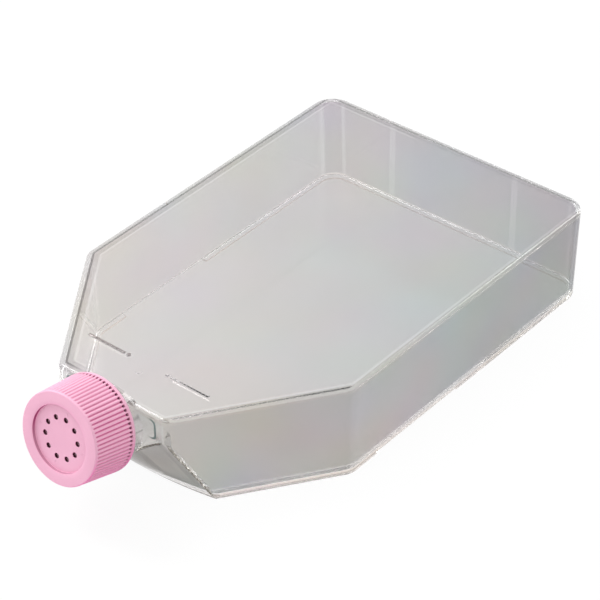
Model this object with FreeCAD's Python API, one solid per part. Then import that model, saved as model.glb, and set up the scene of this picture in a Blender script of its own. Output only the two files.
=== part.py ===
"""Cell culture flask lying on its growth surface, with a canted neck and a vented screw cap.

Frame: +Z up, the bench is Z = 0, the neck points to -Y, the origin lies under the middle of
the overall length. Millimetres.

Separate pieces:
  flask_body      upper moulding: roof, side, shoulder, rear and front walls, canted neck
  base_plate      lower moulding: flat growth plate, foot rails and the ramp up to the neck
  screw_cap       ribbed cap with a recessed face and a ring of vent holes
  vent_membrane   round gas filter held under the cap's top
"""
import FreeCAD, Part
import math
import os
from FreeCAD import Vector

# ---- driving dimensions -------------------------------------------------------------------
body_length = 184.6
body_width = 120.0
body_height = 36.7
shoulder_length = 52.0         # along Y, from the front wall to the full width
front_width = 46.8
wall = 1.7                     # side, rear and front walls
roof = 1.9
plate = 1.8                    # growth plate
rail_height = 0.8              # foot rails that lift the growth plate off the bench
rail_width = 2.6

side_draft = 1.1               # how far each wall leans in at the bottom
rear_draft = 0.5
shoulder_draft = 0.4

rear_corner_r = 9.0
shoulder_corner_r = 6.0
front_corner_r = 2.4
roof_edge_r = 1.6
inner_rear_r = 7.3             # the chamber's own upright corners and roof edge
inner_shoulder_r = 8.0
inner_front_r = 7.5
inner_edge_r = 1.2

# ramp under the neck: from a U-shaped edge on the front wall to a bowed edge on the bench
ramp_corner_height = 27.5
ramp_foot_half_width = 34.5
ramp_foot_setback = 13.7       # of the foot's corners, behind the front wall
ramp_foot_bow = 3.6            # the foot's middle stands this much further forward
ramp_neck_angle = 49.0         # degrees either side that the edge follows the neck's circle
ramp_edge_bulge = 0.55
ramp_skin = Vector(0, 1.5, 1.0)

neck_cant = 12.9               # degrees above level
neck_height = 27.1             # of the neck's axis on the front wall
neck_r = 14.0
neck_bore_r = 12.0
neck_length = 21.65
finish_r = 13.4                # the slimmer threaded stretch inside the cap
root_length = 6.4
saddle_length = 1.8            # the neck's crown runs down onto the roof over this length
saddle_wall = 1.5
neck_overlap = 1.0             # the threaded stretch starts this far inside the root

cap_rear = 7.0                 # distances along the neck's axis from the front wall
cap_length = 18.0
cap_rear_r = 17.15
cap_front_r = 16.4
cap_face_r = 15.1
cap_chamfer = 1.65
cap_bore_r = 15.1
recess_r = 11.7
recess_depth = 1.35
cap_top = 1.5
seat_depth = 0.45              # the seal seat stands this proud of the cap's inner top
collar_length = 1.3
cap_rear_round = 0.25
cap_mouth_chamfer = 0.5
cap_shoulder_drop = 0.65       # the chamfer's knee: this far behind the face ...
cap_shoulder_in = 0.45         # ... and this far inside the front radius
cap_rim_drop = 0.1
cap_rim_flat = 0.5
rib_count = 72
rib_land = 1.6                 # plain band between the ribs and the chamfer
groove_floor_r = 16.15
groove_width = 0.8
groove_taper = 0.6             # share of its width that a groove has left at its floor

vent_count = 10
vent_r = 0.85
vent_ring_r = 7.1
vent_start = 8.4               # degrees, of the first hole

membrane_r = 11.4
membrane_thickness = 0.3
membrane_gap = 0.2

stop_setback = 18.3            # stacking stops on the roof, behind the front wall
stop_inner = 10.2
stop_outer = 26.6
stop_width = 1.1
stop_height = 0.5
stop_chamfer = 0.3
stud_x = 8.6                   # a round stud beside each stop's inner end
stud_r = 0.8
gate_setback = 13.8
gate_r = 1.2
gate_height = 0.2

rear_rib_x = 28.0              # upright ribs inside the rear wall
rear_rib_width = 2.0
rear_rib_depth = 0.6
rear_rib_chamfer = 0.5

foot_gap = (-27.0, 16.0)       # stretch of each side without a foot rail, along Y

rail_front_lap = 0.6           # the foot rail under the ramp is this much wider
sunk = 0.5                     # how deep small forms reach into the wall that carries them

# how far the cutting shapes reach past what they cut
below_bench = 5.0
cutter_overreach = 0.18        # share of the ramp's own length
cutter_side_overreach = 0.9
neck_inside = 12.0
BIG = 400.0

# ---- values worked out from them ------------------------------------------------------------
front_y = -body_length / 2
rear_y = body_length / 2
cant = math.radians(neck_cant)
neck_dir = Vector(0, -math.cos(cant), math.sin(cant))
neck_foot = Vector(0, front_y, neck_height)
neck_frame = FreeCAD.Placement(neck_foot, FreeCAD.Rotation(Vector(1, 0, 0), 90 - neck_cant))
cap_face = cap_rear + cap_length
floor_z = rail_height + plate
nose_y = (neck_foot + neck_dir * cap_face).y - cap_face_r * math.sin(cant)
middle = Vector(0, -(nose_y + rear_y) / 2, 0)


def half_space(point, normal):
    """A big block filling the side of the plane through point that normal points to."""
    block = Part.makeBox(BIG, BIG, BIG, Vector(-BIG / 2, -BIG / 2, 0))
    block.Placement = FreeCAD.Placement(point, FreeCAD.Rotation(Vector(0, 0, 1), normal))
    return block


def outline(side, rear, shoulder, front):
    """Plan of the flask with each wall moved in by its own distance: six corners, (x, y)."""
    run = Vector(body_width / 2 - front_width / 2, shoulder_length, 0)
    run.normalize()
    inward = Vector(-run.y, run.x, 0)
    start = Vector(front_width / 2, front_y, 0) + inward * shoulder
    x_side = body_width / 2 - side
    y_front = front_y + front
    y_shoulder = start.y + (x_side - start.x) * run.y / run.x
    x_front = start.x + (y_front - start.y) * run.x / run.y
    y_rear = rear_y - rear
    right = [(x_front, y_front), (x_side, y_shoulder), (x_side, y_rear)]
    return right + [(-x, y) for x, y in reversed(right)]


def tapered_block(low, low_z, high, high_z, radii, edge_r):
    """Solid between two parallel-sided plans, upright edges and roof edge rounded."""
    bottom = [Vector(x, y, low_z) for x, y in low]
    top = [Vector(x, y, high_z) for x, y in high]
    count = len(bottom)
    rings = [bottom[::-1], top]
    for i in range(count):
        after = (i + 1) % count
        rings.append([bottom[i], bottom[after], top[after], top[i]])
    faces = [Part.Face(Part.makePolygon(ring + ring[:1])) for ring in rings]
    block = Part.makeSolid(Part.makeShell(faces))
    for radius in sorted(set(radii), reverse=True):
        corners = [top[i] for i in range(count) if radii[i] == radius]
        upright = [e for e in block.Edges if is_upright(e, corners, low_z, high_z)]
        block = block.makeFillet(radius, upright)
    rim = [e for e in block.Edges if all(abs(v.Z - high_z) < 1e-6 for v in e.Vertexes)]
    return block.makeFillet(edge_r, rim)


def is_upright(edge, corners, low_z, high_z):
    """True for a block's edge that runs from the bottom up to one of the given roof corners."""
    ends = sorted((v.Point for v in edge.Vertexes), key=lambda p: p.z)
    if len(ends) != 2 or abs(ends[0].z - low_z) > 1e-6 or abs(ends[1].z - high_z) > 1e-6:
        return False
    return any((ends[1] - corner).Length < 1e-6 for corner in corners)


def outer_plan(fraction):
    """The flask's outside plan, with fraction 0 at the roof and 1 at the bench."""
    return outline(side_draft * fraction, rear_draft * fraction, shoulder_draft * fraction, 0)


def inner_plan(fraction):
    """The same plan, one wall thickness further in."""
    return outline(wall + side_draft * fraction, wall + rear_draft * fraction,
                   wall + shoulder_draft * fraction, wall)


def ramp_edges(count=7):
    """Matching points along the ramp's U-shaped upper edge and its bowed foot, left to right."""
    corner = Vector(front_width / 2, front_y, ramp_corner_height)
    tangent = Vector(neck_r * math.sin(math.radians(ramp_neck_angle)), front_y,
                     neck_height - neck_r * math.cos(math.radians(ramp_neck_angle)))
    chord = corner - tangent
    bulge = chord * 0.5 + Vector(-chord.z, 0, chord.x).normalize() * ramp_edge_bulge
    upper = []
    for i in range(-count, count + 1):
        share = abs(i) / count
        side = 1 if i >= 0 else -1
        if share <= 0.5:
            angle = math.radians(ramp_neck_angle) * share * 2
            point = Vector(neck_r * math.sin(angle), front_y, neck_height - neck_r * math.cos(angle))
        else:
            t = share * 2 - 1
            point = tangent + chord * t + (bulge - chord * 0.5) * (4 * t * (1 - t))
        upper.append(Vector(side * point.x, point.y, point.z))
    foot_y = front_y + ramp_foot_setback
    foot = []
    for point in upper:
        across = point.x / (front_width / 2)
        foot.append(Vector(across * ramp_foot_half_width,
                           foot_y - ramp_foot_bow * (1 - across * across), 0))
    return upper, foot


def below_ramp(shift):
    """Everything in front of and below the ramp surface moved by shift."""
    upper, foot = ramp_edges()
    above = [u + (u - f) * cutter_overreach + shift for u, f in zip(upper, foot)]
    under = [f + (f - u) * cutter_overreach + shift for u, f in zip(upper, foot)]
    # the last ruling on each side is carried outwards, clear of the shoulder walls
    for row in (above, under):
        for end, nearer in ((0, 1), (-1, -2)):
            row[end] = row[end] + (row[end] - row[nearer]) * cutter_side_overreach
    curves = []
    for row in (above, under):
        curve = Part.BSplineCurve()
        curve.interpolate(row)
        curves.append(curve.toShape())
    surface = Part.makeRuledSurface(curves[0], curves[1])
    return surface.extrude(Vector(0, -body_width / 2, -body_height))


def revolved(profile):
    """Solid of revolution about the neck's axis from (radius, distance along the axis) points."""
    ring = [Vector(r, 0, s) for r, s in profile]
    face = Part.Face(Part.makePolygon(ring + ring[:1]))
    solid = face.revolve(Vector(0, 0, 0), Vector(0, 0, 1), 360)
    solid.Placement = neck_frame
    return solid


def rod(radius, start, end):
    """Round rod on the neck's axis."""
    return revolved([(0, start), (radius, start), (radius, end), (0, end)])


def hull():
    """The flask's outside below the roof line, without the neck."""
    drop = (body_height + below_bench) / body_height
    radii = [front_corner_r, shoulder_corner_r, rear_corner_r]
    block = tapered_block(outer_plan(drop), -below_bench, outer_plan(0), body_height,
                          radii + radii[::-1], roof_edge_r)
    block = block.cut(below_ramp(Vector(0, 0, 0)))
    return block.cut(half_space(Vector(0, 0, 0), Vector(0, 0, -1)))


def cavity():
    """The room for the medium, carried on below the growth surface."""
    drop = (body_height + below_bench) / body_height
    lift = roof / body_height
    radii = [inner_front_r, inner_shoulder_r, inner_rear_r]
    return tapered_block(inner_plan(drop), -below_bench, inner_plan(lift), body_height - roof,
                         radii + radii[::-1], inner_edge_r)


def saddle_plane(depth):
    """Space below the slope that the neck's crown runs down along, depth under its surface."""
    crown = Vector(0, front_y, neck_height + neck_r / math.cos(cant))
    foot = Vector(0, front_y + saddle_length, body_height)
    slope = foot - crown
    normal = Vector(0, slope.z, -slope.y).normalize()
    return half_space(crown + normal * depth, normal)


def lower_zone():
    """The space that belongs to the lower moulding: the plate's depth and the ramp's skin."""
    slab = half_space(Vector(0, 0, floor_z), Vector(0, 0, -1))
    ramp = below_ramp(ramp_skin).cut(half_space(Vector(0, front_y, 0), Vector(0, -1, 0)))
    return slab.fuse(ramp)


def flask_body():
    """Roof, walls and neck, open below."""
    lower = lower_zone()
    shell = hull().cut(cavity()).cut(lower)
    inside_front = half_space(Vector(0, front_y + wall, 0), Vector(0, -1, 0))
    neck = rod(neck_r, -neck_inside, root_length).common(inside_front).cut(lower)
    neck = neck.fuse(rod(finish_r, root_length - neck_overlap, neck_length))
    saddle = rod(neck_r, -neck_inside, root_length).common(saddle_plane(0))
    saddle = saddle.common(half_space(Vector(0, 0, body_height - roof), Vector(0, 0, 1)))
    body = shell.fuse([neck, saddle])
    bore = rod(neck_bore_r, -neck_inside, neck_length + BIG)
    under_roof = half_space(Vector(0, 0, body_height - roof), Vector(0, 0, -1))
    body = body.cut(bore.common(saddle_plane(saddle_wall))).cut(bore.common(under_roof))
    return body.fuse(roof_details() + rear_ribs()).removeSplitter()


def roof_details():
    """Two stacking stops and the gate mark on the roof."""
    stop_y = front_y + stop_setback
    stops = []
    for side in (-1, 1):
        length = stop_outer - stop_inner
        x = stop_inner if side > 0 else -stop_outer
        bar = Part.makeBox(length, stop_width, stop_height + sunk,
                           Vector(x, stop_y - stop_width / 2, body_height - sunk))
        tops = [e for e in bar.Edges
                if all(abs(v.Z - body_height - stop_height) < 1e-6 for v in e.Vertexes)]
        stops.append(bar.makeChamfer(stop_chamfer, tops))
        stud = Part.makeCylinder(stud_r, stop_height + sunk,
                                 Vector(side * stud_x, stop_y, body_height - sunk))
        stops.append(stud.makeChamfer(stop_chamfer, [e for e in stud.Edges if e.BoundBox.ZMin > body_height]))
    gate = Part.makeCylinder(gate_r, gate_height + sunk,
                             Vector(0, front_y + gate_setback, body_height - sunk))
    return stops + [gate]


def rear_ribs():
    """Two upright ribs on the inside of the rear wall."""
    ribs = []
    for side in (-1, 1):
        deep = rear_rib_depth + wall / 2 + rear_draft
        rib = Part.makeBox(rear_rib_width, deep, body_height - roof / 2 - floor_z,
                           Vector(side * rear_rib_x - rear_rib_width / 2,
                                  rear_y - wall - rear_rib_depth, floor_z))
        front_edges = [e for e in rib.Edges if e.BoundBox.YMax < rear_y - wall - rear_rib_depth / 2
                       and e.BoundBox.ZLength > wall]
        rib = rib.makeChamfer(rear_rib_chamfer, front_edges)
        ribs.append(rib.common(half_space(Vector(0, rear_y - rear_draft - wall / 2, 0),
                                          Vector(0, -1, 0))))
    return ribs


def base_plate():
    """Growth plate with foot rails round its underside and the ramp in one moulding."""
    base = hull().common(lower_zone())
    ramp_back = cavity().fuse(half_space(Vector(0, 0, floor_z), Vector(0, 0, -1)))
    base = base.common(ramp_back.fuse(lower_zone()))
    pocket_plan = outline(rail_width + side_draft, rail_width + rear_draft,
                          rail_width + shoulder_draft, 0)
    ring = [Vector(x, y, -below_bench) for x, y in pocket_plan]
    pocket = Part.Face(Part.makePolygon(ring + ring[:1]))
    pocket = pocket.extrude(Vector(0, 0, below_bench + rail_height))
    pocket = pocket.cut(below_ramp(Vector(0, rail_width + rail_front_lap, 0)))
    gap_start, gap_end = foot_gap
    gap = Part.makeBox(BIG, gap_end - gap_start, below_bench + rail_height,
                       Vector(-BIG / 2, gap_start, -below_bench))
    return base.cut(pocket.fuse(gap)).removeSplitter()


def screw_cap():
    """Ribbed, slightly flared cap with a recessed face and a ring of vent holes."""
    inner_top = cap_face - recess_depth - cap_top
    seat = inner_top - seat_depth
    cap = revolved([
        (0, inner_top), (membrane_r + membrane_gap, inner_top), (membrane_r + membrane_gap, seat),
        (cap_bore_r, seat), (cap_bore_r, cap_rear + cap_mouth_chamfer),
        (cap_bore_r + cap_mouth_chamfer, cap_rear),
        (cap_rear_r - cap_rear_round, cap_rear), (cap_rear_r, cap_rear + cap_rear_round),
        (cap_rear_r, cap_rear + collar_length),
        (cap_front_r, cap_face - cap_chamfer),
        (cap_front_r - cap_shoulder_in, cap_face - cap_shoulder_drop),
        (cap_face_r, cap_face - cap_rim_drop), (cap_face_r - cap_rim_flat, cap_face),
        (recess_r, cap_face), (recess_r, cap_face - recess_depth), (0, cap_face - recess_depth),
    ])
    holes = []
    for i in range(vent_count):
        angle = math.radians(vent_start + i * 360.0 / vent_count)
        centre = Vector(vent_ring_r * math.cos(angle), vent_ring_r * math.sin(angle), seat)
        holes.append(Part.makeCylinder(vent_r, cap_face - seat, centre))
    grooves = [groove(i) for i in range(rib_count)]
    cutters = Part.makeCompound(holes + grooves)
    cutters.Placement = neck_frame
    return cap.cut(cutters)


def groove(index):
    """One groove between two ribs, wedge-shaped in section, in the neck's own frame."""
    start = cap_rear + collar_length
    end = cap_face - cap_chamfer - rib_land
    floor_half = groove_taper * groove_width / 2
    outside = cap_rear_r + groove_width
    spread = groove_width / 2 + (outside - cap_rear_r) * (1 - groove_taper)
    section = [Vector(groove_floor_r, -floor_half, start), Vector(outside, -spread, start),
               Vector(outside, spread, start), Vector(groove_floor_r, floor_half, start)]
    cutter = Part.Face(Part.makePolygon(section + section[:1])).extrude(Vector(0, 0, end - start))
    cutter.rotate(Vector(0, 0, 0), Vector(0, 0, 1), index * 360.0 / rib_count)
    return cutter


def vent_membrane():
    """Thin round filter under the cap's vent holes."""
    inner_top = cap_face - recess_depth - cap_top
    return rod(membrane_r, inner_top - membrane_thickness, inner_top)


def export(name, shape):
    """Write one piece, moved so that the origin lies under the middle of the whole flask."""
    solids = shape.Solids
    assert len(solids) == 1, f"{name} has {len(solids)} solids"
    piece = solids[0].copy()
    piece.translate(middle)
    assert piece.isValid(), f"{name} is not valid"
    piece.exportStep(f"parts/{name}.step")
    box = piece.BoundBox
    print(f"{name}: {piece.Volume / 1000:.2f} cm3, "
          f"x {box.XMin:.2f}..{box.XMax:.2f}, y {box.YMin:.2f}..{box.YMax:.2f}, "
          f"z {box.ZMin:.2f}..{box.ZMax:.2f}")


os.makedirs("parts", exist_ok=True)
export("flask_body", flask_body())
export("base_plate", base_plate())
export("screw_cap", screw_cap())
export("vent_membrane", vent_membrane())
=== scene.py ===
"""Clear culture flask with a canted neck and a pink vented screw cap: finishes, small forms, bench and light."""

import logging  # noqa: E402
import math  # noqa: E402
from dataclasses import dataclass, field  # noqa: E402
from enum import Enum  # noqa: E402

import bpy  # noqa: E402
import numpy as np  # noqa: E402
from mathutils import Matrix, Vector  # noqa: E402


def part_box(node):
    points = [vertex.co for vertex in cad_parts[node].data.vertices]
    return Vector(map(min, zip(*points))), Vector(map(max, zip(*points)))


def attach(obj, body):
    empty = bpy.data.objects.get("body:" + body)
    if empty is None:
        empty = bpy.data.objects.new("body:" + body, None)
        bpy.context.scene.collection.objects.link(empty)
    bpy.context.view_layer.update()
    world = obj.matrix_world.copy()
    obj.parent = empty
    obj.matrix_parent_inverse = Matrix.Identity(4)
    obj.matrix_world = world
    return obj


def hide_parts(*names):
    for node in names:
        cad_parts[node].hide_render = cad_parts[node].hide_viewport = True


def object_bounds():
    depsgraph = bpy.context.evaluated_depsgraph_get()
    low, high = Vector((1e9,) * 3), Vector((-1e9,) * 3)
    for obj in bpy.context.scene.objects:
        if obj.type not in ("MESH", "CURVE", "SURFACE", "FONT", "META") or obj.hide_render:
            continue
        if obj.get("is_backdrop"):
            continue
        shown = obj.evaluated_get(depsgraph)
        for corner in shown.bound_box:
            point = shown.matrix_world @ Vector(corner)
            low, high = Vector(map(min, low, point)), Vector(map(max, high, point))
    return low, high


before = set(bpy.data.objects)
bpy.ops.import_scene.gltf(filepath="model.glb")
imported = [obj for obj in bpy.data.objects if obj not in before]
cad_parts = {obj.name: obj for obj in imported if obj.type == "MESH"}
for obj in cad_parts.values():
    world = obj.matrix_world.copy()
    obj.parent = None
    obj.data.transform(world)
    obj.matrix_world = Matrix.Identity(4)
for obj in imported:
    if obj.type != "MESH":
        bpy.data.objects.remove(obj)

log = logging.getLogger("flask")

MM = 0.001
Colour = tuple[float, float, float]


class Slot(Enum):
    """Material slot names of the record."""

    SHELL = "clear_shell"
    BASE = "clear_base"
    CAP = "cap_pink"
    FILTER = "filter_white"


class Body(Enum):
    """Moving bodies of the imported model."""

    FLASK = "flask"
    CARRIER = "vent_carrier"
    CAP = "cap"


# ---- meshes from arrays -----------------------------------------------------------------------


@dataclass
class Patchwork:
    """Vertices and faces gathered from several grids, welded into one closed mesh at the end."""

    points: list[np.ndarray] = field(default_factory=list)
    faces: list[np.ndarray] = field(default_factory=list)
    marks: list[np.ndarray] = field(default_factory=list)
    count: int = 0

    def add_grid(self, grid: np.ndarray, wrap: bool = False, mark: np.ndarray | float = 0.0) -> None:
        """Adds a grid of points as quads, facing along row direction cross column direction.

        Args:
            grid: Points of shape (rows, columns, 3).
            wrap: True joins the last column to the first.
            mark: Shade value per point, or one for all of them.
        """
        rows, cols = grid.shape[:2]
        index = np.arange(rows * cols).reshape(rows, cols) + self.count
        right = np.roll(index, -1, axis=1) if wrap else index[:, 1:]
        left = index if wrap else index[:, :-1]
        quads = np.stack([left[:-1], right[:-1], right[1:], left[1:]], axis=-1).reshape(-1, 4)
        self.points.append(grid.reshape(-1, 3))
        self.faces.append(quads)
        self.marks.append(np.broadcast_to(np.asarray(mark, float), (rows, cols)).reshape(-1))
        self.count += rows * cols

    def build(self, name: str, place: Matrix | None = None) -> bpy.types.Object:
        """Makes one object from the patches, with close points merged and normals outward.

        Args:
            name: The piece's name.
            place: Transform put into the points themselves, in metres.

        Returns:
            The new object, at the origin, with a float attribute named shade.
        """
        points = np.concatenate(self.points)
        keys = np.round(points / 1e-7).astype(np.int64)
        _, first, back = np.unique(keys, axis=0, return_index=True, return_inverse=True)
        points = points[first]
        marks = np.concatenate(self.marks)[first]
        quads = back.reshape(-1)[np.concatenate(self.faces)]
        if place is not None:
            turn = np.array(place)
            points = points @ turn[:3, :3].T + turn[:3, 3]
        ring = np.roll(quads, -1, axis=1) != quads
        corners = quads[ring]
        sizes = ring.sum(axis=1)
        keep = sizes >= 3
        corners = corners[np.repeat(keep, sizes)]
        sizes = sizes[keep]
        mesh = bpy.data.meshes.new(name)
        mesh.vertices.add(len(points))
        mesh.vertices.foreach_set("co", points.astype(np.float32).ravel())
        mesh.loops.add(len(corners))
        mesh.loops.foreach_set("vertex_index", corners.astype(np.int32))
        mesh.polygons.add(len(sizes))
        mesh.polygons.foreach_set("loop_start", (np.cumsum(sizes) - sizes).astype(np.int32))
        mesh.update(calc_edges=True)
        shade = mesh.attributes.new("shade", "FLOAT", "POINT")
        shade.data.foreach_set("value", marks.astype(np.float32))
        mesh.polygons.foreach_set("use_smooth", np.ones(len(sizes), bool))
        mesh.validate()
        piece = bpy.data.objects.new(name, mesh)
        bpy.context.scene.collection.objects.link(piece)
        return piece


def sharpen(piece: bpy.types.Object, degrees: float) -> None:
    """Marks the piece's edges sharper than an angle, so that shading breaks there."""
    piece.data.set_sharp_from_angle(angle=math.radians(degrees))


def polish(piece: bpy.types.Object, degrees: float) -> None:
    """Smooth shading that stays exact on the flat walls: each normal follows the larger faces round it."""
    mesh = piece.data
    mesh.polygons.foreach_set("use_smooth", np.ones(len(mesh.polygons), bool))
    mesh.set_sharp_from_angle(angle=math.radians(degrees))
    step = piece.modifiers.new("normals", "WEIGHTED_NORMAL")
    step.keep_sharp, step.weight = True, 100
    view = bpy.context.evaluated_depsgraph_get()
    fresh = bpy.data.meshes.new_from_object(piece.evaluated_get(view))
    piece.modifiers.clear()
    name = mesh.name
    piece.data = fresh
    bpy.data.meshes.remove(mesh)
    fresh.name = name


# ---- the frame's own sizes --------------------------------------------------------------------


@dataclass(frozen=True)
class Gauge:
    """Sizes of the flask, in metres, and the neck's place in the frame."""

    length: float = 184.6 * MM
    width: float = 120.0 * MM
    height: float = 36.7 * MM
    shoulder: float = 52.0 * MM
    front_width: float = 46.8 * MM
    wall: float = 1.7 * MM
    floor: float = 2.6 * MM
    neck_height: float = 27.1 * MM
    cant: float = math.radians(12.9)

    @property
    def rear_y(self) -> float:
        """Rear wall's outside at the roof."""
        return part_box("flask_body")[1].y

    @property
    def front_y(self) -> float:
        """Front wall's outside."""
        return self.rear_y - self.length

    @property
    def neck(self) -> Matrix:
        """Frame with Z along the neck's axis, outwards, and its origin on the front wall."""
        return Matrix.Translation((0, self.front_y, self.neck_height)) @ Matrix.Rotation(
            math.pi / 2 - self.cant, 4, "X"
        )


# ---- finishes ---------------------------------------------------------------------------------


def shader_tree(name: str) -> tuple[bpy.types.Material, bpy.types.NodeTree]:
    """Makes an empty node material."""
    material = bpy.data.materials.new(name)
    material.use_nodes = True
    material.node_tree.nodes.clear()
    return material, material.node_tree


def rgba(colour: Colour) -> tuple[float, float, float, float]:
    """Adds full alpha to a linear colour."""
    return (*colour, 1.0)


def link(tree: bpy.types.NodeTree, source: bpy.types.NodeSocket, target: bpy.types.NodeSocket) -> None:
    """Links two sockets."""
    tree.links.new(source, target)


def math_node(tree: bpy.types.NodeTree, kind: str, *values: bpy.types.NodeSocket | float) -> bpy.types.NodeSocket:
    """Adds a Math node fed by sockets or numbers and returns its output."""
    node = tree.nodes.new("ShaderNodeMath")
    node.operation = kind
    for place, value in enumerate(values):
        if isinstance(value, bpy.types.NodeSocket):
            link(tree, value, node.inputs[place])
        else:
            node.inputs[place].default_value = value
    return node.outputs[0]


def ramp_node(
    tree: bpy.types.NodeTree, factor: bpy.types.NodeSocket, low: float, high: float, start: float, end: float
) -> bpy.types.NodeSocket:
    """Maps a value smoothly from low..high to start..end and returns the result."""
    node = tree.nodes.new("ShaderNodeMapRange")
    node.interpolation_type = "SMOOTHSTEP"
    for key, value in (("From Min", low), ("From Max", high), ("To Min", start), ("To Max", end)):
        node.inputs[key].default_value = value
    link(tree, factor, node.inputs["Value"])
    return node.outputs["Result"]


def mix_colour(
    tree: bpy.types.NodeTree,
    factor: bpy.types.NodeSocket | float,
    first: bpy.types.NodeSocket | Colour,
    second: bpy.types.NodeSocket | Colour,
    blend: str = "MIX",
) -> bpy.types.NodeSocket:
    """Adds a colour mix and returns its result."""
    node = tree.nodes.new("ShaderNodeMix")
    node.data_type = "RGBA"
    node.blend_type = blend
    for place, value in ((0, factor), (6, first), (7, second)):
        if isinstance(value, bpy.types.NodeSocket):
            link(tree, value, node.inputs[place])
        elif place == 0:
            node.inputs[place].default_value = value
        else:
            node.inputs[place].default_value = rgba(value)
    return node.outputs[2]


def noise_node(
    tree: bpy.types.NodeTree, where: bpy.types.NodeSocket, scale: float, detail: float = 2.0
) -> bpy.types.NodeSocket:
    """Adds a noise texture on the given coordinates and returns its value."""
    node = tree.nodes.new("ShaderNodeTexNoise")
    node.inputs["Scale"].default_value = scale
    node.inputs["Detail"].default_value = detail
    link(tree, where, node.inputs["Vector"])
    return node.outputs["Fac"]


def axes(tree: bpy.types.NodeTree, vector: bpy.types.NodeSocket, size: bool = False) -> list[bpy.types.NodeSocket]:
    """Splits a vector into X, Y and Z, as plain sizes without sign if asked."""
    node = tree.nodes.new("ShaderNodeSeparateXYZ")
    link(tree, vector, node.inputs[0])
    return [math_node(tree, "ABSOLUTE", out) if size else out for out in node.outputs]


def band(tree: bpy.types.NodeTree, value: bpy.types.NodeSocket, low: float, high: float, soft: float) -> bpy.types.NodeSocket:
    """1 between low and high, fading to 0 over a soft width outside."""
    rise = ramp_node(tree, value, low - soft, low, 0.0, 1.0)
    return math_node(tree, "MULTIPLY", rise, ramp_node(tree, value, high, high + soft, 1.0, 0.0))


def both(tree: bpy.types.NodeTree, *masks: bpy.types.NodeSocket) -> bpy.types.NodeSocket:
    """Product of masks."""
    total = masks[0]
    for mask in masks[1:]:
        total = math_node(tree, "MULTIPLY", total, mask)
    return total


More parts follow.
